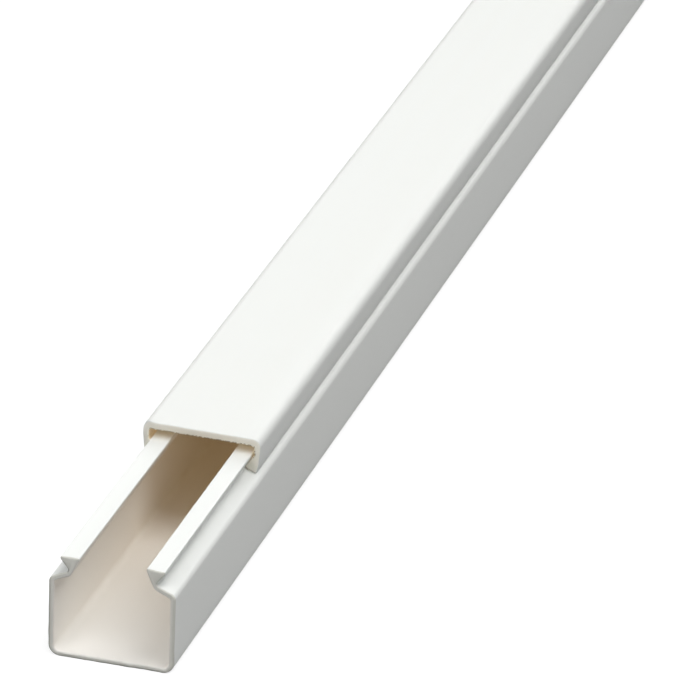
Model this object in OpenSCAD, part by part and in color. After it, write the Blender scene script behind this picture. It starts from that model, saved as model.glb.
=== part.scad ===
// Mini cable trunking in extruded white PVC: a U-shaped channel and its clip-on lid.
// Each side wall turns in to a sloped shoulder, a notch and a flat-topped head, and the lid's
// legs end in barbs that lie in the two notches. The lid is slid back along the channel, so
// that the near end of the channel stands open.
// X runs across the section, Y along the length and Z up from the channel's flat underside.

/* [Stock] */
// Cut length of the channel and of the lid
stock_length = 1000; // [250:10:3000]
// How far the lid is slid back from the channel's near end
lid_setback = 43.6; // [0:0.1:200]

/* [Section] */
// Width over the channel's side walls
section_w = 20; // [16:0.5:40]
// Height from the underside to the top of the lid
section_h = 19.4; // [16:0.1:40]
// Thickness of the channel's side walls and shoulders
wall = 0.85; // [0.7:0.05:1]
// Thickness of the channel's floor
floor_t = 0.8; // [0.6:0.05:1.5]
// Outside radius of the channel's bottom corners
corner_r = 1.8; // [1.2:0.1:2.5]

/* [Snap heads] */
// Width of the flat top of each head
head_w = 3; // [2.4:0.1:3.4]
// Distance from the outside of the wall in to the head's outer tip
head_inset = 1.75; // [1.6:0.05:2]
// Thickness of the head's outer tip
head_tip_t = 0.5; // [0.35:0.05:0.6]
// Height of the upright lip at the head's inner edge
lip_t = 0.4; // [0.3:0.05:0.6]
// Thickness of the neck beside the bottom of the notch
neck_t = 0.95; // [0.8:0.05:1.1]
// Depth of the notch under the head, measured in from the tip
notch_depth = 1.2; // [1:0.05:1.35]
// Radius at the bottom of the notch
notch_r = 0.5; // [0.4:0.05:0.6]
// Slope of the head's underside above the level
head_slope = 50; // [46:1:54]
// Slope of the shoulder above the level
shoulder_slope = 24; // [20:1:28]
// Outside radius where the wall turns in to the shoulder
shoulder_r = 1; // [0.8:0.1:1.6]

/* [Lid] */
// Thickness of the lid's top plate
lid_t = 1.2; // [1:0.05:1.4]
// Thickness of the lid's two legs
leg_t = 1.15; // [0.95:0.05:1.25]
// Radius of the lid's top edges
lid_edge_r = 1.4; // [0.6:0.1:1.8]
// Inside radius between the plate and a leg
lid_inner_r = 0.5; // [0.3:0.1:0.8]
// Height over the leg's toe at which the leg starts to taper in
taper_h = 1.6; // [1.2:0.1:2.2]
// How far the taper brings the toe in from the leg's outer face
taper_in = 0.8; // [0.6:0.05:1]

/* [Fit] */
// Air between the top of the heads and the lid's plate
head_gap = 1.45; // [0.6:0.05:1.7]
// Air between the head's tip and the leg beside it
leg_gap = 0.5; // [0.2:0.05:0.6]
// Clearance between the head's underside and the barb below it
snap_clearance = 0.15; // [0.1:0.01:0.2]
// Clearance between the shoulder and the barb that lies on it
seat_clearance = 0.1; // [0.08:0.01:0.15]

/* [Hidden] */
$fn = 96;
channel_colour = "#F2F2EE";
lid_colour = "#F6F6F2";

// Rounding of the fine edges, and of the barb's tip and its root
edge_r = 0.15;
barb_tip_r = 0.45;
barb_root_r = 0.4;
toe_r = 0.25;
under_shoulder_r = 0.5;
neck_r = 1.2;
least_inner_r = 0.3;

// The leg bends into its taper over a radius of this many times the taper's height
taper_bend = 2.5;
taper_r = taper_bend * taper_h;

// An arc stands proud of its neighbours by arc_proud, so that it crosses them instead of grazing
// them. Each arc piece laps into its polygon by a share of its radius, up to a set depth.
arc_proud = 0.001;
arc_lap = 1 / 8;
most_lap = 0.05;

half_w = section_w / 2;
plate_under = section_h - lid_t;
head_top = plate_under - head_gap;
tip_x = half_w - head_inset;
tip_z = head_top - head_tip_t;
mouth_x = tip_x - head_w;
neck_x = tip_x - notch_depth;
lip_z = head_top - lip_t;

// The notch is a V between the head's underside and the shoulder, rounded at its bottom
notch_half_angle = (head_slope + shoulder_slope) / 2;
notch_tilt = (head_slope - shoulder_slope) / 2;
notch_x = neck_x - notch_r * (cos(notch_tilt) / sin(notch_half_angle) - 1);
notch_z = head_under(notch_x);
shoulder_z = shoulder_top(half_w);
wall_in_x = half_w - wall;
web_drop = wall / cos(shoulder_slope);

// The neck's inner face falls outward from the lip, passes the bottom of the notch at the neck's
// thickness and bends into the underside of the shoulder
notch_bottom_z = notch_z + notch_r * sin(notch_tilt) / sin(notch_half_angle);
neck_fall = (lip_z - notch_bottom_z) / (neck_x - neck_t - mouth_x);
bend_x = (lip_z + mouth_x * neck_fall - shoulder_top(0) + web_drop) / (neck_fall - tan(shoulder_slope));

// The barb's faces follow the notch's faces at the two clearances
leg_in_x = tip_x + leg_gap;
lid_half_w = leg_in_x + leg_t;
barb_over = snap_clearance / cos(head_slope);
barb_under = seat_clearance / cos(shoulder_slope);
barb_x = notch_x + (barb_over + barb_under) / (tan(head_slope) + tan(shoulder_slope));
toe_x = lid_half_w - taper_in;
toe_z = shoulder_top(toe_x) + barb_under;

// Height of the head's underside, and of the shoulder's upper face, at a place across the section
function head_under(x) = tip_z - (tip_x - x) * tan(head_slope);
function shoulder_top(x) = notch_z - (x - notch_x) * tan(shoulder_slope);

// Corners of the right half of each section as [x, z, radius], anticlockwise
channel_half = [
    [half_w, 0, corner_r],
    [half_w, shoulder_z, shoulder_r],
    [notch_x, notch_z, notch_r],
    [tip_x, tip_z, edge_r],
    [tip_x, head_top, edge_r],
    [mouth_x, head_top, edge_r],
    [mouth_x, lip_z, edge_r],
    [bend_x, shoulder_top(bend_x) - web_drop, neck_r],
    [wall_in_x, shoulder_top(wall_in_x) - web_drop, under_shoulder_r],
    [wall_in_x, floor_t, max(corner_r - wall, least_inner_r)],
];
lid_half = [
    [leg_in_x, plate_under, lid_inner_r],
    [leg_in_x, head_under(leg_in_x) - barb_over, barb_root_r],
    [barb_x, shoulder_top(barb_x) + barb_under, barb_tip_r],
    [toe_x, toe_z, toe_r],
    [lid_half_w, toe_z + taper_h, taper_r],
    [lid_half_w, section_h, lid_edge_r],
];

function unit(v) = v / norm(v);
function flat(p) = [p[0], p[1]];
function turns_left(a, b) = a[0] * b[1] - a[1] * b[0] > 0;

// The right half of a section and its mirror image, as one closed loop of corners
function mirrored(c) = [-c[0], c[1], c[2]];
function both_halves(half) = concat(half, [for (i = [len(half) - 1:-1:0]) mirrored(half[i])]);

// A corner as [first tangent point, second tangent point, arc centre, way out, turn, radius, convex]
function corner(loop, i) =
    let (
        here = flat(loop[i]),
        r = loop[i][2],
        before = unit(flat(loop[(i + len(loop) - 1) % len(loop)]) - here),
        after = unit(flat(loop[(i + 1) % len(loop)]) - here),
        turn = 180 - acos(before * after),
        reach = r * tan(turn / 2),
        inward = unit(before + after)
    )
    [
        here + before * reach,
        here + after * reach,
        here + inward * r / cos(turn / 2),
        atan2(-inward[1], -inward[0]),
        turn,
        r,
        turns_left(-before, after),
    ];

// The piece of a corner's circle that lies beyond the chord between its tangent points
module arc_piece(c) {
    r = c[5];
    translate(c[2])
        rotate(c[3])
            intersection() {
                circle(r + arc_proud);
                translate([r * cos(c[4] / 2) - min(r * arc_lap, most_lap), -2 * r])
                    square([2 * r, 4 * r]);
            }
}

// A closed loop of corners, each rounded with a true arc
module rounded_section(loop) {
    corners = [for (i = [0:len(loop) - 1]) corner(loop, i)];
    difference() {
        union() {
            polygon([for (c = corners) each [c[0], c[1]]]);
            for (c = corners)
                if (c[6])
                    arc_piece(c);
        }
        for (c = corners)
            if (!c[6])
                arc_piece(c);
    }
}

// A section run along Y from the place start
module extrusion(half, start) {
    translate([0, start + stock_length, 0])
        rotate([90, 0, 0])
            linear_extrude(stock_length)
                rounded_section(both_halves(half));
}

module base_channel() {
    color(channel_colour)
        extrusion(channel_half, -stock_length / 2);
}

module lid() {
    color(lid_colour)
        extrusion(lid_half, lid_setback - stock_length / 2);
}

base_channel();
lid();
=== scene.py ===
# %% [markdown]
# # A length of mini cable trunking
# The real thing is two PVC extrusions. A U-shaped channel is screwed or stuck to a wall, and a lid
# clips over it. In the picture the lid is slid back, so the near end of the channel stands open.
# The solids of both pieces come in as a fixed frame, and this lesson dresses them: it draws both
# sections again with finer arcs, gives them sawn ends, and finishes them as satin white PVC.

# %% Load the frame
import math

import bpy
from mathutils import Matrix, Vector


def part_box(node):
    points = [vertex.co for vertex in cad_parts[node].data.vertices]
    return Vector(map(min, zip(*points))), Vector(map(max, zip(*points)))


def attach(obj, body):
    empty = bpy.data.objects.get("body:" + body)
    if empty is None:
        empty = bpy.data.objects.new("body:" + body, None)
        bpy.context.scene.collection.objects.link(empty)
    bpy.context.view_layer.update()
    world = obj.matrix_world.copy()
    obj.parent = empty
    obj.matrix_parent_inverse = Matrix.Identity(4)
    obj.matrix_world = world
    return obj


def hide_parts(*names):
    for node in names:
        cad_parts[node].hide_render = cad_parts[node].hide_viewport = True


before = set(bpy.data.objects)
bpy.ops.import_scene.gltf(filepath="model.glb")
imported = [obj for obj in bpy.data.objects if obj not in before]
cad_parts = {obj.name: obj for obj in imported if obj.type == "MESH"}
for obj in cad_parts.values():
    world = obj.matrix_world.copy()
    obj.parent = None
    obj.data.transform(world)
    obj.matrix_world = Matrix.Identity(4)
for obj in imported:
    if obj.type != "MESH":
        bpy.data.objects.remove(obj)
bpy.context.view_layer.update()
MM = 0.001
channel_low, channel_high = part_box("base_channel")
lid_low, lid_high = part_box("lid")
print("channel is", round(channel_high.y - channel_low.y, 3), "m long, lid starts at", round(lid_low.y, 4))

# %% [markdown]
# ## The camera
# The picture was taken with a long lens, a little above the trunking and to its right, and the near
# end lies low on the left. A camera can be set by eye, but a long thin thing shows every error, so
# it is worked out here: two angles and a small roll turn it, and then it is moved until the middle
# of the near end falls on its own pixel.

# %% Place the camera
PICTURE = 696
NEAR_END_PIXEL = (110.8, 612.0)
FOCAL_PIXELS = 6316.7
SENSOR_WIDTH = 36
AZIMUTH, ELEVATION, ROLL = 15.82, 24.76, 1.81
NEAR_END_DEPTH = 0.948
NEAR_END_HEIGHT = 9 * MM


def camera_axes(azimuth, elevation, roll):
    """Right, up and backward directions of a camera that looks at the object from those angles."""
    a, e = math.radians(azimuth), math.radians(elevation)
    back = Vector((math.sin(a) * math.cos(e), -math.cos(a) * math.cos(e), math.sin(e)))
    right = Vector((math.cos(a), math.sin(a), 0))
    turn = Matrix.Rotation(math.radians(roll), 3, back)
    return turn @ right, turn @ back.cross(right), back


right, up, back = camera_axes(AZIMUTH, ELEVATION, ROLL)
near_end = Vector((0, channel_low.y, NEAR_END_HEIGHT))
across = (NEAR_END_PIXEL[0] - PICTURE / 2) * NEAR_END_DEPTH / FOCAL_PIXELS
down = (NEAR_END_PIXEL[1] - PICTURE / 2) * NEAR_END_DEPTH / FOCAL_PIXELS
eye = near_end + back * NEAR_END_DEPTH - right * across + up * down
camera = bpy.data.objects.new("camera", bpy.data.cameras.new("camera"))
camera.data.sensor_width = SENSOR_WIDTH
camera.data.lens = SENSOR_WIDTH * FOCAL_PIXELS / PICTURE
camera.matrix_world = Matrix.Translation(eye) @ Matrix((right, up, back)).transposed().to_4x4()
bpy.context.scene.collection.objects.link(camera)
bpy.context.scene.camera = camera
print("camera at", [round(v, 3) for v in eye], "lens", round(camera.data.lens, 1))

# %% [markdown]
# ## The two sections
# An extrusion is one section run along a line, so the section carries nearly all of the shape. The
# CAD mesh keeps its arcs coarse, as a metre of stock needs, and up close that would show on the
# shoulder and the lid's edge. So the sizes are written again here, in millimetres, apart from the
# overall width and heights, which the frame gives, and every place across the section is worked out
# from them. The outer faces of the lid's legs also lean in by a few degrees here, as the picture
# shows them, which greys the lid's sides and bares more of the bright shoulder below.

# %% Sizes of the section in millimetres
wall, floor_t, corner_r = 0.85, 0.8, 1.8
shoulder_slope, shoulder_r, under_shoulder_r = 24, 1.0, 0.5
head_w, head_inset, head_tip_t, head_slope, lip_t = 3.0, 1.75, 0.5, 50, 0.4
notch_depth, notch_r, neck_t, neck_r = 1.2, 0.5, 0.95, 1.2
lid_t, lid_edge_r, lid_inner_r = 1.2, 1.4, 0.5
leg_t, leg_lean, taper_h, taper_in, taper_bend = 1.15, 0.4, 1.6, 0.8, 2.5
leg_gap, snap_clearance, seat_clearance = 0.5, 0.15, 0.1
edge_r, barb_tip_r, barb_root_r, toe_r = 0.15, 0.45, 0.4, 0.25
half_w, head_top, section_h = channel_high.x / MM, channel_high.z / MM, lid_high.z / MM
print("section is", round(2 * half_w, 2), "mm wide and", round(section_h, 2), "mm high")

# %% Places across the channel
tip_x, tip_z = half_w - head_inset, head_top - head_tip_t
mouth_x, lip_z = tip_x - head_w, head_top - lip_t
head_rise = math.tan(math.radians(head_slope))
shoulder_rise = math.tan(math.radians(shoulder_slope))
open_angle = math.radians(head_slope + shoulder_slope) / 2
tilt = math.radians(head_slope - shoulder_slope) / 2
neck_x = tip_x - notch_depth
notch_x = neck_x - notch_r * (math.cos(tilt) / math.sin(open_angle) - 1)


def head_under(x):
    """Height of the head's underside at a place across the section."""
    return tip_z - (tip_x - x) * head_rise


def shoulder_top(x):
    """Height of the shoulder's upper face at a place across the section."""
    return head_under(notch_x) - (x - notch_x) * shoulder_rise


web_drop = wall / math.cos(math.radians(shoulder_slope))
notch_bottom_z = head_under(notch_x) + notch_r * math.sin(tilt) / math.sin(open_angle)
neck_fall = (lip_z - notch_bottom_z) / (neck_x - neck_t - mouth_x)
bend_x = (lip_z + mouth_x * neck_fall - shoulder_top(0) + web_drop) / (neck_fall - shoulder_rise)
print("notch starts", round(notch_x, 2), "mm from the middle, the neck bends at", round(bend_x, 2))

# %% Places across the lid
leg_in_x = tip_x + leg_gap
lid_half_w = leg_in_x + leg_t
barb_over = snap_clearance / math.cos(math.radians(head_slope))
barb_under = seat_clearance / math.cos(math.radians(shoulder_slope))
barb_x = notch_x + (barb_over + barb_under) / (head_rise + shoulder_rise)
toe_x = lid_half_w - taper_in
toe_z = shoulder_top(toe_x) + barb_under
taper_r = taper_bend * taper_h
print("lid is", round(2 * lid_half_w, 2), "mm wide, its toes are", round(toe_z, 2), "mm up")

# %% [markdown]
# ## Corners
# Each corner of the right half is written as its place, its radius and a number that says how far
# it lies inside the trunking, from 0 on the outside to 1 on the inside. The finish uses that number
# later, because PVC ages differently on the two sides.

# %% Corners of the channel and of the lid
OUTER, INNER = 0, 1
UNDER_LIP, AT_BARB = 0.6, 0.7
channel_half = [
    (half_w, 0, corner_r, OUTER),
    (half_w, shoulder_top(half_w), shoulder_r, OUTER),
    (notch_x, head_under(notch_x), notch_r, OUTER),
    (tip_x, tip_z, edge_r, OUTER),
    (tip_x, head_top, edge_r, OUTER),
    (mouth_x, head_top, edge_r, OUTER),
    (mouth_x, lip_z, edge_r, UNDER_LIP),
    (bend_x, shoulder_top(bend_x) - web_drop, neck_r, INNER),
    (half_w - wall, shoulder_top(half_w - wall) - web_drop, under_shoulder_r, INNER),
    (half_w - wall, floor_t, corner_r - wall, INNER),
]
lid_half = [
    (leg_in_x, section_h - lid_t, lid_inner_r, INNER),
    (leg_in_x, head_under(leg_in_x) - barb_over, barb_root_r, INNER),
    (barb_x, shoulder_top(barb_x) + barb_under, barb_tip_r, AT_BARB),
    (toe_x, toe_z, toe_r, OUTER),
    (lid_half_w - leg_lean, toe_z + taper_h, taper_r, OUTER),
    (lid_half_w, section_h, lid_edge_r, OUTER),
]
print("channel has", 2 * len(channel_half), "corners, lid", 2 * len(lid_half))

# %% [markdown]
# ## Rounding the corners
# A bevel could round a drawn outline, but it works with widths and weights, and here each corner has
# a radius of its own. A short function does it exactly: each corner becomes an arc that touches both
# of its straight runs, and the runs are split into short steps, so that the saw can fray the edge
# later. Each point also keeps its room, because a cut edge can't be rounded by more than the radius
# of a corner close by.

# %% Turn corners into a fine closed outline
ARC_STEP = math.radians(7)
LEAST_ARC_STEPS = 3
RUN_ROOM = 0.5


def corner_arc(before, here, after, radius):
    """Points of the arc that rounds the corner here, from the run before it to the run after it."""
    to_before, to_after = (before - here).normalized(), (after - here).normalized()
    turn = math.pi - to_before.angle(to_after)
    inward = (to_before + to_after).normalized()
    centre = here + inward * radius / math.cos(turn / 2)
    start = here + to_before * radius * math.tan(turn / 2) - centre
    left = (here - before).cross(after - here) > 0
    steps = max(LEAST_ARC_STEPS, math.ceil(turn / ARC_STEP))
    turns = [(turn if left else -turn) * i / steps for i in range(steps + 1)]
    return [centre + Matrix.Rotation(t, 2) @ start for t in turns]


def outline(half, run_step):
    """The whole outline of a section, as (x, z, inside, room), from the corners of its right half."""
    corners = half + [(-x, z, r, inside) for x, z, r, inside in reversed(half)]
    arcs = []
    for i, (x, z, r, inside) in enumerate(corners):
        before, after = corners[i - 1], corners[(i + 1) % len(corners)]
        arc = corner_arc(Vector(before[:2]), Vector((x, z)), Vector(after[:2]), r)
        arcs.append([Vector((p.x, p.y, inside, r)) for p in arc])
    points = []
    for arc, following in zip(arcs, arcs[1:] + arcs[:1]):
        points += arc
        a, b = arc[-1], following[0]
        length = (b - a).to_2d().length
        steps = max(1, math.ceil(length / run_step))
        for s in range(1, steps):
            more_room = RUN_ROOM * length * min(s, steps - s) / steps
            points.append(a.lerp(b, s / steps) + Vector((0, 0, 0, more_room)))
    return points


channel_outline = outline(channel_half, run_step=0.5)
lid_outline = outline(lid_half, run_step=0.12)
print("outline points:", len(channel_outline), "channel,", len(lid_outline), "lid")

# %% [markdown]
# ## Words for node trees
# Both the shapes and the finishes below are node trees. These short helpers place a node, feed a
# socket with a link or a plain value, do one step of arithmetic, keep a value between 0 and 1, and
# make a vector of three values.

# %% Helpers for node trees


def place(tree, kind, **settings):
    """A new node with its settings."""
    node = tree.nodes.new(kind)
    for name, value in settings.items():
        setattr(node, name, value)
    return node


def feed(tree, socket, value):
    """Links a socket to an output, or gives it a plain value."""
    if isinstance(value, bpy.types.NodeSocket):
        tree.links.new(value, socket)
    else:
        socket.default_value = value


def reckon(tree, operation, *values):
    """One step of arithmetic, as an output socket."""
    node = place(tree, "ShaderNodeMath", operation=operation)
    for socket, value in zip(node.inputs, values):
        feed(tree, socket, value)
    return node.outputs[0]


def within(tree, value):
    """A value kept between 0 and 1."""
    return reckon(tree, "MINIMUM", reckon(tree, "MAXIMUM", value, 0), 1)


def vector(tree, x, y, z):
    """A vector from three values."""
    node = place(tree, "ShaderNodeCombineXYZ")
    for socket, value in zip(node.inputs, (x, y, z)):
        feed(tree, socket, value)
    return node.outputs[0]


print("helpers:", [f.__name__ for f in (place, feed, reckon, within, vector)])

# %% [markdown]
# ## A sawn extrusion as Geometry Nodes
# Stock like this is pushed through a die and then sawn to length, and the tree below does the same.
# One tree serves both pieces, so everything that differs between them is a named input: the
# section, where it starts, how long it is, how the saw went through it, and its finish.

# %% Start the tree
TREE_INPUTS = {
    "Section": "Geometry", "Start": "Float", "Length": "Float", "Rings": "Int", "Cut round": "Float",
    "Half width": "Float", "Saw skew": "Float", "Saw lean": "Float", "Saw wander": "Float",
    "Knock place": "Vector", "Knock depth": "Float", "Burr": "Float", "Scuff outside": "Float",
    "Scuff inside": "Float", "Seed": "Float", "Finish": "Material",
}
tree = bpy.data.node_groups.new("sawn_extrusion", "GeometryNodeTree")
for name, kind in TREE_INPUTS.items():
    tree.interface.new_socket(name, in_out="INPUT", socket_type="NodeSocket" + kind)
tree.interface.new_socket("Piece", in_out="OUTPUT", socket_type="NodeSocketGeometry")
given = place(tree, "NodeGroupInput").outputs
print("tree inputs:", list(TREE_INPUTS))

# %% Helpers for shapes
HALF_STEP = 0.5


def same(tree, a, b):
    """1 where two whole numbers are equal, else 0."""
    return reckon(tree, "COMPARE", a, b, HALF_STEP)


def store(tree, geometry, name, value):
    """Keeps a value on each point under a name."""
    node = place(tree, "GeometryNodeStoreNamedAttribute", data_type="FLOAT", domain="POINT")
    feed(tree, node.inputs["Geometry"], geometry)
    node.inputs["Name"].default_value = name
    feed(tree, node.inputs["Value"], value)
    return node.outputs["Geometry"]


def recall(tree, name):
    """Reads a named value back."""
    node = place(tree, "GeometryNodeInputNamedAttribute", data_type="FLOAT")
    node.inputs["Name"].default_value = name
    return node.outputs["Attribute"]


def shift(tree, geometry, selection, offset):
    """Moves the selected points by an offset."""
    node = place(tree, "GeometryNodeSetPosition")
    feed(tree, node.inputs["Geometry"], geometry)
    feed(tree, node.inputs["Selection"], selection)
    feed(tree, node.inputs["Offset"], offset)
    return node.outputs["Geometry"]


print("helpers:", [f.__name__ for f in (same, store, recall, shift)])

# %% [markdown]
# ### Rings along the length
# The section is swept over a row of rings along Y. An extruded face would be shorter to write, but
# with rings the detail goes where it is needed. The first and last few lie on a quarter circle and
# round the cut edge, a guard ring behind them keeps the shading of the long faces even, and the rest
# are spaced by a cosine, wide apart in the middle.

# %% Rings along the length
ROUND_RINGS = 4
GUARD_RING = ROUND_RINGS + 1
GUARD = 0.25 * MM
ring = place(tree, "GeometryNodeInputIndex").outputs[0]
last = reckon(tree, "SUBTRACT", given["Rings"], 1)
line = place(tree, "GeometryNodeMeshLine")
feed(tree, line.inputs["Count"], given["Rings"])


def end_rings(from_end):
    """The rings of one end: 1 where a ring belongs to it, its depth from the cut, and its share of inset."""
    belongs = reckon(tree, "LESS_THAN", from_end, GUARD_RING + HALF_STEP)
    guard = reckon(tree, "MULTIPLY", same(tree, from_end, GUARD_RING), GUARD)
    step = reckon(tree, "MINIMUM", from_end, ROUND_RINGS)
    angle = reckon(tree, "MULTIPLY", step, math.pi / 2 / ROUND_RINGS)
    depth = reckon(tree, "SUBTRACT", 1, reckon(tree, "COSINE", angle))
    depth = reckon(tree, "ADD", reckon(tree, "MULTIPLY", depth, given["Cut round"]), guard)
    return belongs, depth, reckon(tree, "SUBTRACT", 1, reckon(tree, "SINE", angle))


near, near_depth, near_inset = end_rings(ring)
far, far_depth, far_inset = end_rings(reckon(tree, "SUBTRACT", last, ring))
angle = reckon(tree, "MULTIPLY", reckon(tree, "DIVIDE", ring, last), math.pi)
share = reckon(tree, "MULTIPLY_ADD", reckon(tree, "COSINE", angle), -0.5, 0.5)
middle = reckon(tree, "SUBTRACT", 1, reckon(tree, "ADD", near, far))
along = reckon(tree, "MULTIPLY", reckon(tree, "MULTIPLY", share, given["Length"]), middle)
along = reckon(tree, "ADD", along, reckon(tree, "MULTIPLY", near, near_depth))
far_place = reckon(tree, "SUBTRACT", given["Length"], far_depth)
along = reckon(tree, "ADD", along, reckon(tree, "MULTIPLY", far, far_place))
rings = place(tree, "GeometryNodeSetPosition")
feed(tree, rings.inputs["Geometry"], line.outputs["Mesh"])
feed(tree, rings.inputs["Position"], vector(tree, 0, reckon(tree, "ADD", along, given["Start"]), 0))
rings = store(tree, rings.outputs["Geometry"], "cut_way", reckon(tree, "SUBTRACT", near, far))
rings = store(tree, rings, "inset", reckon(tree, "ADD", near_inset, far_inset))
print("rings at each end:", GUARD_RING + 1)

# %% [markdown]
# ### The sweep
# Curve to Mesh carries the section along the row and closes both ends. What was stored on the rings
# and on the section comes along, so each point of the mesh knows its ring and its side.

# %% The sweep
path = place(tree, "GeometryNodeMeshToCurve")
feed(tree, path.inputs["Mesh"], rings)
section = place(tree, "GeometryNodeMeshToCurve")
feed(tree, section.inputs["Mesh"], given["Section"])
sweep = place(tree, "GeometryNodeCurveToMesh")
feed(tree, sweep.inputs["Curve"], path.outputs["Curve"])
feed(tree, sweep.inputs["Profile Curve"], section.outputs["Curve"])
sweep.inputs["Fill Caps"].default_value = True
print("tree so far:", len(tree.nodes), "nodes")

# %% [markdown]
# ### The frayed edge
# A saw doesn't leave a sharp edge. Noise makes the rounding of the cut larger here and smaller
# there, within each point's room, and on the inside it can leave a burr of small torn teeth. Both
# move the points of the end rings across the section, into the solid or away from it.

# %% The frayed edge
ROOM_SHARE = 0.8
RAG_PER_METRE, RAG_SWING, RAG_LEAST = 700, 0.8, 0.6
TEETH_PER_METRE, TEETH_FROM, TEETH_GAIN = 5200, 0.5, 6
BURR_SLOPE, BURR_START = 5, -4
normal_parts = place(tree, "ShaderNodeSeparateXYZ")
feed(tree, normal_parts.inputs[0], place(tree, "GeometryNodeInputNormal").outputs[0])
sideways = place(tree, "ShaderNodeVectorMath", operation="NORMALIZE")
feed(tree, sideways.inputs[0], vector(tree, normal_parts.outputs["X"], 0, normal_parts.outputs["Z"]))


def grain(tree, scale, detail):
    """Noise over the section, moved on by the seed."""
    node = place(tree, "ShaderNodeTexNoise", noise_dimensions="4D")
    feed(tree, node.inputs["W"], given["Seed"])
    node.inputs["Scale"].default_value = scale
    node.inputs["Detail"].default_value = detail
    return node.outputs[0]


def outward(tree, amount):
    """An offset across the section by an amount, away from the solid."""
    node = place(tree, "ShaderNodeVectorMath", operation="SCALE")
    feed(tree, node.inputs[0], sideways.outputs[0])
    feed(tree, node.inputs["Scale"], amount)
    return node.outputs[0]


inset, inside = recall(tree, "inset"), recall(tree, "inside")
room = reckon(tree, "MULTIPLY", recall(tree, "room"), ROOM_SHARE)
rag = reckon(tree, "MULTIPLY_ADD", grain(tree, RAG_PER_METRE, detail=2), RAG_SWING, RAG_LEAST)
rounding = reckon(tree, "MINIMUM", room, reckon(tree, "MULTIPLY", given["Cut round"], rag))
teeth = reckon(tree, "SUBTRACT", grain(tree, TEETH_PER_METRE, detail=0), TEETH_FROM)
teeth = reckon(tree, "MULTIPLY", reckon(tree, "MAXIMUM", teeth, 0), TEETH_GAIN)
burr_side = reckon(tree, "MAXIMUM", reckon(tree, "MULTIPLY_ADD", inside, BURR_SLOPE, BURR_START), 0)
burr = reckon(tree, "MULTIPLY", reckon(tree, "MULTIPLY", teeth, burr_side), given["Burr"])
fray = reckon(tree, "MULTIPLY", reckon(tree, "SUBTRACT", burr, rounding), inset)
piece = shift(tree, sweep.outputs["Mesh"], True, outward(tree, fray))
print("tree so far:", len(tree.nodes), "nodes")

# %% [markdown]
# ### The wandering cut
# A hand-held saw also strays along the length. The cut may run askew across the width, lean back
# with height and wander a little, and on the near end one corner has been knocked. All of it only
# takes material away, so the piece stays within its length.

# %% The wandering cut
STRAY_PER_METRE, STRAY_FROM = 300, 0.25
KNOCK_REACH = 2.6 * MM
here_parts = place(tree, "ShaderNodeSeparateXYZ")
feed(tree, here_parts.inputs[0], place(tree, "GeometryNodeInputPosition").outputs[0])
skew = reckon(tree, "MULTIPLY", reckon(tree, "ABSOLUTE", given["Saw skew"]), given["Half width"])
skew = reckon(tree, "MULTIPLY_ADD", given["Saw skew"], here_parts.outputs["X"], skew)
skew = reckon(tree, "MULTIPLY_ADD", given["Saw lean"], here_parts.outputs["Z"], skew)
stray = reckon(tree, "SUBTRACT", grain(tree, STRAY_PER_METRE, detail=3), STRAY_FROM)
stray = reckon(tree, "MAXIMUM", stray, 0)
wander = reckon(tree, "MULTIPLY_ADD", stray, given["Saw wander"], skew)
apart = place(tree, "ShaderNodeVectorMath", operation="DISTANCE")
feed(tree, apart.inputs[0], vector(tree, here_parts.outputs["X"], 0, here_parts.outputs["Z"]))
feed(tree, apart.inputs[1], given["Knock place"])
nearness = reckon(tree, "SUBTRACT", 1, reckon(tree, "DIVIDE", apart.outputs["Value"], KNOCK_REACH))
knock = reckon(tree, "POWER", reckon(tree, "MAXIMUM", nearness, 0), 2)
knock = reckon(tree, "MULTIPLY", knock, given["Knock depth"])
way = recall(tree, "cut_way")
knock = reckon(tree, "MULTIPLY", knock, reckon(tree, "GREATER_THAN", way, 0))
cut_back = reckon(tree, "MULTIPLY", reckon(tree, "ADD", wander, knock), way)
piece = shift(tree, piece, reckon(tree, "ABSOLUTE", way), vector(tree, 0, cut_back, 0))
print("tree so far:", len(tree.nodes), "nodes")

# %% [markdown]
# ### What the finish needs to know
# The finish can't see which faces were sawn, so the tree keeps that on the mesh. A face counts as
# sawn where it looks along the length, and where the saw has scuffed the skin that reaches a little
# way round the edge; on the channel's outside that is partly painted shade on the outer cut edges.
# The rim is darkened where it faces down and to the left, as painted shade, with some dirt on the
# lid's torn edge. How upright a face stands is kept too, because near the ends light comes through
# the side walls and not through the floor, which lies on the ground. The tree then ends in plain
# geometry with its material.

# %% Marks for the finish, and the end of the tree
CLEAN_TILT, SCUFF_TILT, SAWN_GAIN = 0.75, -0.55, 5
RIM_GAIN = 4
# The way the rim's painted shade faces: down and to the left.
DOWN_LEFT_WAY = (-1.3, 0, -1.0)
FLAT_TILT = 0.97
tilted = reckon(tree, "ABSOLUTE", normal_parts.outputs["Y"])
# scuff marks the side whose cut edge gets the sawn wrap and the rim's painted shade.
scuff = reckon(tree, "MULTIPLY", given["Scuff inside"], inside)
scuff = reckon(tree, "MULTIPLY_ADD", given["Scuff outside"], reckon(tree, "SUBTRACT", 1, inside), scuff)
# Where the skin is scuffed, the sawn colour reaches round the edge; on the channel's outside this darkens the
# outer cut edges, partly as painted shade.
least_tilt = reckon(tree, "MULTIPLY_ADD", scuff, SCUFF_TILT, CLEAN_TILT)
sawn = reckon(tree, "MULTIPLY", reckon(tree, "SUBTRACT", tilted, least_tilt), SAWN_GAIN)
piece = store(tree, piece, "sawn", within(tree, sawn))
piece = store(tree, piece, "upright", reckon(tree, "ABSOLUTE", normal_parts.outputs["X"]))
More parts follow.
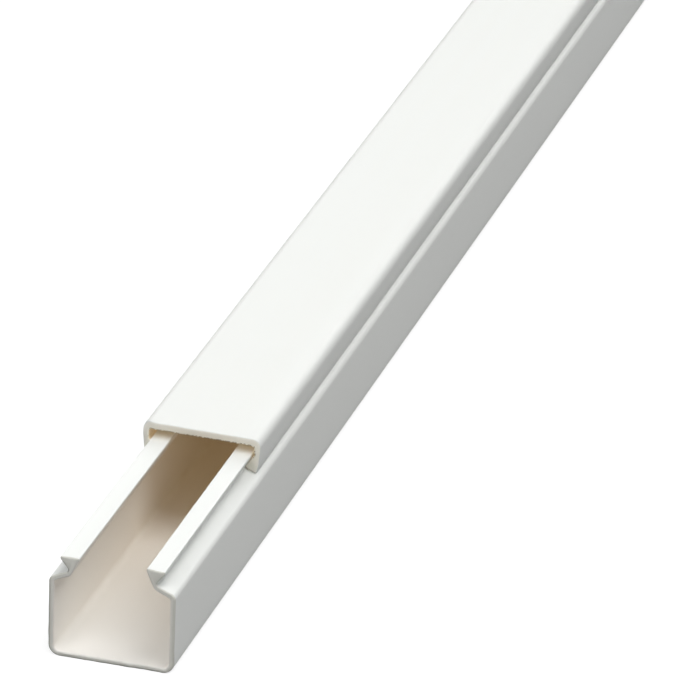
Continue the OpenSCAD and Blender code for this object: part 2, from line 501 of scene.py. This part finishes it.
# The rim of the cut is darkened where it faces down and to the left: painted shade, with some dirt on the
# lid's torn edge.
rim = reckon(tree, "MULTIPLY", inset, reckon(tree, "SUBTRACT", 1, inset))
rim = reckon(tree, "MULTIPLY", rim, RIM_GAIN)
down_left_side = place(tree, "ShaderNodeVectorMath", operation="DOT_PRODUCT")
feed(tree, down_left_side.inputs[0], sideways.outputs[0])
feed(tree, down_left_side.inputs[1], DOWN_LEFT_WAY)
facing_down_left = within(tree, down_left_side.outputs["Value"])
soiled = reckon(tree, "MULTIPLY", reckon(tree, "MULTIPLY", rim, scuff), facing_down_left)
piece = store(tree, piece, "soiled", soiled)
smooth = place(tree, "GeometryNodeSetShadeSmooth")
feed(tree, smooth.inputs["Geometry"], piece)
feed(tree, smooth.inputs["Shade Smooth"], reckon(tree, "LESS_THAN", tilted, FLAT_TILT))
whole = place(tree, "GeometryNodeRealizeInstances")
feed(tree, whole.inputs["Geometry"], smooth.outputs["Geometry"])
finish = place(tree, "GeometryNodeSetMaterial")
feed(tree, finish.inputs["Geometry"], whole.outputs["Geometry"])
feed(tree, finish.inputs["Material"], given["Finish"])
result = place(tree, "NodeGroupOutput")
feed(tree, result.inputs["Piece"], finish.outputs["Geometry"])
print("sawn_extrusion has", len(tree.nodes), "nodes")

# %% [markdown]
# ## Marks that both finishes share
# Rigid PVC leaves the die with a satin skin and faint lines along its length, it picks up a little
# dust, and a saw leaves a fine grain. Both pieces have these marks, so each one is a node group with
# named sockets. The lines are noise drawn out along Y, and the dust is the middles of small cells.

# %% Shared marks
LINES_ALONG = 3
BROAD_LINES = (260, 4, 260)
SPECKS_PER_METRE = 420
SAW_GRAIN = (3200, 3200, 700)


def shader_group(name, inputs, outputs):
    """An empty shader node group with float sockets and one vector input for the place."""
    group = bpy.data.node_groups.new(name, "ShaderNodeTree")
    group.interface.new_socket("Place", in_out="INPUT", socket_type="NodeSocketVector")
    for socket in inputs:
        group.interface.new_socket(socket, in_out="INPUT", socket_type="NodeSocketFloat")
    for socket in outputs:
        group.interface.new_socket(socket, in_out="OUTPUT", socket_type="NodeSocketFloat")
    return group, place(group, "NodeGroupInput").outputs, place(group, "NodeGroupOutput").inputs


def stretched_noise(group, where, stretch, detail, roughness=0.5):
    """Noise on a place whose three axes are scaled each by its own amount, in features per metre."""
    node = place(group, "ShaderNodeVectorMath", operation="MULTIPLY")
    feed(group, node.inputs[0], where)
    feed(group, node.inputs[1], stretch)
    noise = place(group, "ShaderNodeTexNoise")
    feed(group, noise.inputs["Vector"], node.outputs[0])
    noise.inputs["Scale"].default_value = 1
    noise.inputs["Detail"].default_value = detail
    noise.inputs["Roughness"].default_value = roughness
    return noise.outputs[0]


die_lines, given_in, put_out = shader_group("die_lines", ["Per metre"], ["Lines", "Broad"])
fine = vector(die_lines, given_in["Per metre"], LINES_ALONG, given_in["Per metre"])
thin_lines = stretched_noise(die_lines, given_in["Place"], fine, detail=4, roughness=0.6)
feed(die_lines, put_out["Lines"], thin_lines)
broad_lines = stretched_noise(die_lines, given_in["Place"], BROAD_LINES, detail=2)
feed(die_lines, put_out["Broad"], broad_lines)

dust, given_in, put_out = shader_group("dust", ["Amount"], ["Specks"])
cells = place(dust, "ShaderNodeTexVoronoi")
feed(dust, cells.inputs["Vector"], given_in["Place"])
cells.inputs["Scale"].default_value = SPECKS_PER_METRE
feed(dust, put_out["Specks"], reckon(dust, "LESS_THAN", cells.outputs["Distance"], given_in["Amount"]))

saw_marks, given_in, put_out = shader_group("saw_marks", [], ["Grain"])
saw_grain = stretched_noise(saw_marks, given_in["Place"], SAW_GRAIN, detail=3)
feed(saw_marks, put_out["Grain"], saw_grain)
print("shared marks:", [g.name for g in (die_lines, dust, saw_marks)])

# %% [markdown]
# ## PVC
# One function makes both finishes, and the values that were kept on the mesh say which colour goes
# where. The outside is a cool white. The inside is a warmer one, painted darker and yellower with the
# depth from the ends: painted shade for the inside under the lid. A sawn face has the skin torn off,
# so it has two colours of its own, one towards the outside of the wall and one towards the inside; on
# the channel the darker outer one is painted shade on the outer cut edges. The rim is darkened by
# painted shade, with some dirt. Thin walls also let a little light through, pale near the ends and
# brown deep inside. Scattering in the wall would show that, but at twice the render time, so the
# inside gets a very faint glow of its own.

# %% Helpers for finishes
# Where the painted shade inside starts from each end, and the length over which it grows to full; the glow
# follows the same depth.
UNSHADED_REACH, SHADE_RAMP = 4 * MM, 45 * MM


def mixed(tree, share, a, b):
    """A mix of two colours."""
    node = place(tree, "ShaderNodeMix", data_type="RGBA", blend_type="MIX")
    feed(tree, node.inputs["Factor"], share)
    feed(tree, node.inputs["A"], a)
    feed(tree, node.inputs["B"], b)
    return node.outputs["Result"]


def attribute(tree, name):
    """A value that the mesh carries."""
    return place(tree, "ShaderNodeAttribute", attribute_name=name).outputs["Fac"]


def marks(tree, group, where, **values):
    """A shared group of marks, placed in a material."""
    node = place(tree, "ShaderNodeGroup", node_tree=group)
    feed(tree, node.inputs["Place"], where)
    for name, value in values.items():
        node.inputs[name.replace("_", " ")].default_value = value
    return node.outputs


def depth_inside(tree, where, ends):
    """0 near the two ends of a piece, 1 deep inside it."""
    parts = place(tree, "ShaderNodeSeparateXYZ")
    feed(tree, parts.inputs[0], where)
    off_middle = reckon(tree, "ABSOLUTE", reckon(tree, "SUBTRACT", parts.outputs["Y"], sum(ends) / 2))
    from_end = reckon(tree, "SUBTRACT", (ends[1] - ends[0]) / 2, off_middle)
    deep = reckon(tree, "DIVIDE", reckon(tree, "SUBTRACT", from_end, UNSHADED_REACH), SHADE_RAMP)
    return within(tree, deep)


# The darkening and yellowing inside is painted shade; it is full this far from an end.
print("painted_shade is full", round((UNSHADED_REACH + SHADE_RAMP) / MM), "mm from an end")

# %% One kind of PVC
BLACK, WALL_GLOW, DUST_COLOUR = (0, 0, 0, 1), (0.076, 0.068, 0.060, 1), (0.5, 0.47, 0.42, 1)
BROAD_TINT, GRAIN_TINT, SPECK_TINT = 0.08, 0.25, 0.12
ROUGH_SWING, ROUGH_LEAST, CUT_ROUGHER = 0.14, 0.34, 0.3
GRAIN_HEIGHT, BUMP_STRENGTH, BUMP_HEIGHT = 6, 0.35, 0.006 * MM


def pvc_colour(nodes, where, lines, cut, cut_grain, deep, colours):
    """The colour of PVC: skin on both sides, sawn face, dust, and painted shade with some dirt on the rim."""
    side = attribute(nodes, "inside")
    specks = marks(nodes, dust, where, Amount=0.03)["Specks"]
    # Deeper inside, the colour turns darker and yellower: painted shade under the lid.
    inner = mixed(nodes, deep, colours["inside"], colours["deep_inside"])
    colour = mixed(nodes, side, colours["outside"], inner)
    colour = mixed(nodes, reckon(nodes, "MULTIPLY", lines["Broad"], BROAD_TINT), colour, inner)
    # On the channel the outer sawn colour is darker than the inner one: painted shade on the outer cut edges.
    colour = mixed(nodes, cut, colour, mixed(nodes, side, colours["sawn_outer"], colours["sawn_inner"]))
    grain_tint = reckon(nodes, "MULTIPLY", cut_grain, reckon(nodes, "MULTIPLY", cut, GRAIN_TINT))
    colour = mixed(nodes, grain_tint, colour, colours["inside"])
    colour = mixed(nodes, reckon(nodes, "MULTIPLY", specks, SPECK_TINT), colour, DUST_COLOUR)
    # The rim is darkened by painted shade, with some dirt.
    return mixed(nodes, attribute(nodes, "soiled"), colour, colours["soil"])


def pvc_bump(nodes, lines, cut, cut_grain):
    """Die lines on the skin and saw grain on the cut, as a bumped normal."""
    skin_height = reckon(nodes, "MULTIPLY", lines["Lines"], reckon(nodes, "SUBTRACT", 1, cut))
    cut_height = reckon(nodes, "MULTIPLY", cut_grain, reckon(nodes, "MULTIPLY", cut, GRAIN_HEIGHT))
    bump = place(nodes, "ShaderNodeBump")
    bump.inputs["Strength"].default_value = BUMP_STRENGTH
    bump.inputs["Distance"].default_value = BUMP_HEIGHT
    feed(nodes, bump.inputs["Height"], reckon(nodes, "ADD", skin_height, cut_height))
    return bump.outputs[0]


def pvc_glow(nodes, cut, deep, let_through):
    """Light that comes through the walls: pale on the side walls near the ends, brown deep inside."""
    skin_inside = reckon(nodes, "MULTIPLY", attribute(nodes, "inside"), reckon(nodes, "SUBTRACT", 1, cut))
    wall_glow = mixed(nodes, attribute(nodes, "upright"), BLACK, WALL_GLOW)
    return mixed(nodes, skin_inside, BLACK, mixed(nodes, deep, wall_glow, let_through))


def pvc(name, ends, **colours):
    """Satin PVC with its own colours for both sides, for the sawn face, its rim and the light let through."""
    colours = {part: (*colour, 1) for part, colour in colours.items()}
    material = bpy.data.materials.new(name)
    material.use_nodes = True
    nodes = material.node_tree
    skin = nodes.nodes["Principled BSDF"]
    where = place(nodes, "ShaderNodeTexCoord").outputs["Object"]
    lines = marks(nodes, die_lines, where, Per_metre=2400)
    cut = attribute(nodes, "sawn")
    cut_grain = marks(nodes, saw_marks, where)["Grain"]
    deep = depth_inside(nodes, where, ends)
    rough = reckon(nodes, "MULTIPLY_ADD", lines["Broad"], ROUGH_SWING, ROUGH_LEAST)
    feed(nodes, skin.inputs["Base Color"], pvc_colour(nodes, where, lines, cut, cut_grain, deep, colours))
    feed(nodes, skin.inputs["Roughness"], reckon(nodes, "MULTIPLY_ADD", cut, CUT_ROUGHER, rough))
    feed(nodes, skin.inputs["Normal"], pvc_bump(nodes, lines, cut, cut_grain))
    feed(nodes, skin.inputs["Emission Color"], pvc_glow(nodes, cut, deep, colours["let_through"]))
    skin.inputs["Emission Strength"].default_value = 1
    skin.inputs["IOR"].default_value = 1.53
    skin.inputs["Specular IOR Level"].default_value = 0.06
    return material


print("finish made of", [f.__name__ for f in (pvc_colour, pvc_bump, pvc_glow)])

# %% [markdown]
# ### The two finishes
# The channel has no painted shade inside near either end. The lid is a little less white outside,
# as painted shade that greys its sides, and it is yellower inside. Its near end lies over the
# channel, in the dark, so its inside is painted as dark and yellow there as in its middle. To say so,
# its unshaded end is set further out than the lid reaches.

# %% Make the two finishes
# The darkest colour of each finish darkens the cut rims that face down and to the left: painted shade, with
# some dirt on the lid's torn edge.
channel_ends = (channel_low.y, channel_high.y)
lid_ends = (lid_low.y - UNSHADED_REACH - SHADE_RAMP, lid_high.y)
# The channel's outer sawn colour is darker than its inner one: painted shade on the outer cut edges.
channel_pvc = pvc("channel_pvc", channel_ends, outside=(0.868, 0.885, 0.86),
                  inside=(0.81, 0.79, 0.75), deep_inside=(0.79, 0.75, 0.69),
                  sawn_outer=(0.70, 0.70, 0.64), sawn_inner=(0.80, 0.79, 0.74),
                  soil=(0.34, 0.34, 0.31), let_through=(0.039, 0.027, 0.014))
# The lid's outside is a little greyer than the channel's: painted shade for its darker sides, which also
# greys its top a little.
lid_pvc = pvc("lid_pvc", lid_ends, outside=(0.815, 0.833, 0.812),
              inside=(0.86, 0.79, 0.66), deep_inside=(0.86, 0.77, 0.60),
              sawn_outer=(0.93, 0.91, 0.83), sawn_inner=(0.90, 0.87, 0.76),
              soil=(0.16, 0.12, 0.07), let_through=(0.100, 0.070, 0.040))
print("finishes:", channel_pvc.name, lid_pvc.name)

# %% [markdown]
# ## Sweeping the pieces
# The wire outline goes in, and a plain mesh comes out: the tree is evaluated once, its result is
# kept, and the modifier is taken away. Each piece then stands in for its CAD solid and rides on its
# body.

# %% Helpers for sweeping
SHARP = math.radians(40)


def wire(name, points):
    """An object that holds an outline as a closed wire, seen along the sweep."""
    points = points[::-1]
    mesh = bpy.data.meshes.new(name)
    links = [(i, (i + 1) % len(points)) for i in range(len(points))]
    mesh.from_pydata([(x * MM, -z * MM, 0) for x, z, _, _ in points], links, [])
    mesh.attributes.new("inside", "FLOAT", "POINT").data.foreach_set("value", [p[2] for p in points])
    mesh.attributes.new("room", "FLOAT", "POINT").data.foreach_set("value", [p[3] * MM for p in points])
    made = bpy.data.objects.new(name, mesh)
    bpy.context.scene.collection.objects.link(made)
    return made


def sweep_piece(name, points, **values):
    """A sawn length of a section, as a plain mesh."""
    made = wire(name, points)
    modifier = made.modifiers.new("sawn_extrusion", "NODES")
    modifier.node_group = tree
    for socket in tree.interface.items_tree:
        key = socket.name.lower().replace(" ", "_")
        if socket.in_out == "INPUT" and key in values:
            modifier[socket.identifier] = values[key]
    graph = bpy.context.evaluated_depsgraph_get()
    mesh = bpy.data.meshes.new_from_object(made.evaluated_get(graph), depsgraph=graph)
    made.modifiers.remove(modifier)
    made.data = mesh
    mesh.set_sharp_from_angle(angle=SHARP)
    return made


print("edges over", round(math.degrees(SHARP)), "degrees stay sharp")

# %% Make the channel and the lid
RINGS = 60
channel = sweep_piece("pvc_channel", channel_outline, start=channel_low.y,
                      length=channel_high.y - channel_low.y, rings=RINGS, cut_round=0.26 * MM,
                      half_width=channel_high.x, saw_skew=0.0, saw_lean=0.02, saw_wander=0.7 * MM,
                      knock_place=(mouth_x * MM, 0, head_top * MM), knock_depth=0.4 * MM, burr=0.0,
                      scuff_outside=1.0, scuff_inside=0.0, seed=3.0, finish=channel_pvc)
cover = sweep_piece("pvc_lid", lid_outline, start=lid_low.y,
                    length=lid_high.y - lid_low.y, rings=RINGS, cut_round=0.2 * MM,
                    half_width=lid_high.x, saw_skew=-0.03, saw_lean=0.0, saw_wander=0.4 * MM,
                    knock_place=(lid_low.x, 0, lid_high.z), knock_depth=1.2 * MM, burr=0.22 * MM,
                    scuff_outside=0.0, scuff_inside=1.0, seed=8.0, finish=lid_pvc)
for made, node, body, slot in ((channel, "base_channel", "channel", "channel_pvc"),
                               (cover, "lid", "cover", "lid_pvc")):
    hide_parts(node)
    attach(made, body)
    print(made.name, "has", len(made.data.vertices), "points and", len(made.data.polygons), "faces")

# %% [markdown]
# ## The floor and what lies beyond it
# The trunking lies on a pale matt floor. What the camera sees of the floor is lifted to white by a
# glow that only its own rays meet, and rays by way of a shiny or clear surface. So the shadow stays,
# and the glow shows in the sheen of the trunking but doesn't light it otherwise. The sky beyond is
# made white in the same way.

# %% Floor and sky
FLOOR_REACH = 6
FLOOR_GREY, FLOOR_GLOW = (0.3, 0.3, 0.3, 1), 0.8
bpy.context.scene.view_settings.view_transform = "Standard"


def sight(tree):
    """1 where a ray comes from the camera or by way of a shiny or clear surface."""
    path = place(tree, "ShaderNodeLightPath").outputs
    shiny = reckon(tree, "MAXIMUM", path["Is Glossy Ray"], path["Is Transmission Ray"])
    return reckon(tree, "MAXIMUM", path["Is Camera Ray"], shiny)


def floor_finish():
    """Pale matt floor with a glow for the camera."""
    material = bpy.data.materials.new("pale_floor")
    material.use_nodes = True
    nodes = material.node_tree
    paint = nodes.nodes["Principled BSDF"]
    paint.inputs["Base Color"].default_value = FLOOR_GREY
    paint.inputs["Roughness"].default_value = 0.9
    paint.inputs["Specular IOR Level"].default_value = 0
    glow = place(nodes, "ShaderNodeEmission")
    feed(nodes, glow.inputs["Strength"], reckon(nodes, "MULTIPLY", sight(nodes), FLOOR_GLOW))
    both = place(nodes, "ShaderNodeAddShader")
    feed(nodes, both.inputs[0], paint.outputs[0])
    feed(nodes, both.inputs[1], glow.outputs[0])
    feed(nodes, nodes.nodes["Material Output"].inputs["Surface"], both.outputs[0])
    return material


bpy.ops.mesh.primitive_plane_add(size=2 * FLOOR_REACH)
floor = bpy.context.object
floor.name = "floor"
floor.data.materials.append(floor_finish())

world = bpy.data.worlds.new("sky")
bpy.context.scene.world = world
world.use_nodes = True
sky = world.node_tree.nodes["Background"]
sky.inputs["Color"].default_value = (1, 1, 1, 1)
feed(world.node_tree, sky.inputs["Strength"], sight(world.node_tree))
print("floor is", 2 * FLOOR_REACH, "m wide")

# %% [markdown]
# ## The light
# The picture has soft studio light. Four large lamps stand round the near end: the main one overhead
# and a little to the right, one on each side of the camera, the left one stronger, that reach into
# the open channel, and one at the back that brightens the tops. Large lamps are chosen over a bright
# sky because the sides then differ in tone, which shows the shape.

# %% Lamps
NEAR_MIDDLE = (0, -0.55, 0)


def soft_lamp(name, at, towards, size, power):
    """A square area lamp."""
    lamp = bpy.data.objects.new(name, bpy.data.lights.new(name, "AREA"))
    lamp.data.size = size
    lamp.data.energy = power
    lamp.location = at
    lamp.rotation_euler = (Vector(at) - Vector(towards)).to_track_quat("Z", "Y").to_euler()
    bpy.context.scene.collection.objects.link(lamp)
    return lamp


lamps = [
    soft_lamp("top_lamp", (0.54, -0.55, 1.40), NEAR_MIDDLE, size=1.05, power=14.8),
    soft_lamp("front_right_lamp", (0.87, -1.42, 0.86), NEAR_MIDDLE, size=1.05, power=2.2),
    soft_lamp("front_left_lamp", (-0.50, -1.42, 1.12), NEAR_MIDDLE, size=1.05, power=11.2),
    soft_lamp("back_lamp", (0, 1.57, 1.33), NEAR_MIDDLE, size=1.75, power=24),
]
print("lamps:", [(lamp.name, round(lamp.data.energy, 1)) for lamp in lamps])

# %% [markdown]
# ## The end
# The dressed model has to stay in the box of the CAD model.

# %% The end
print("done")
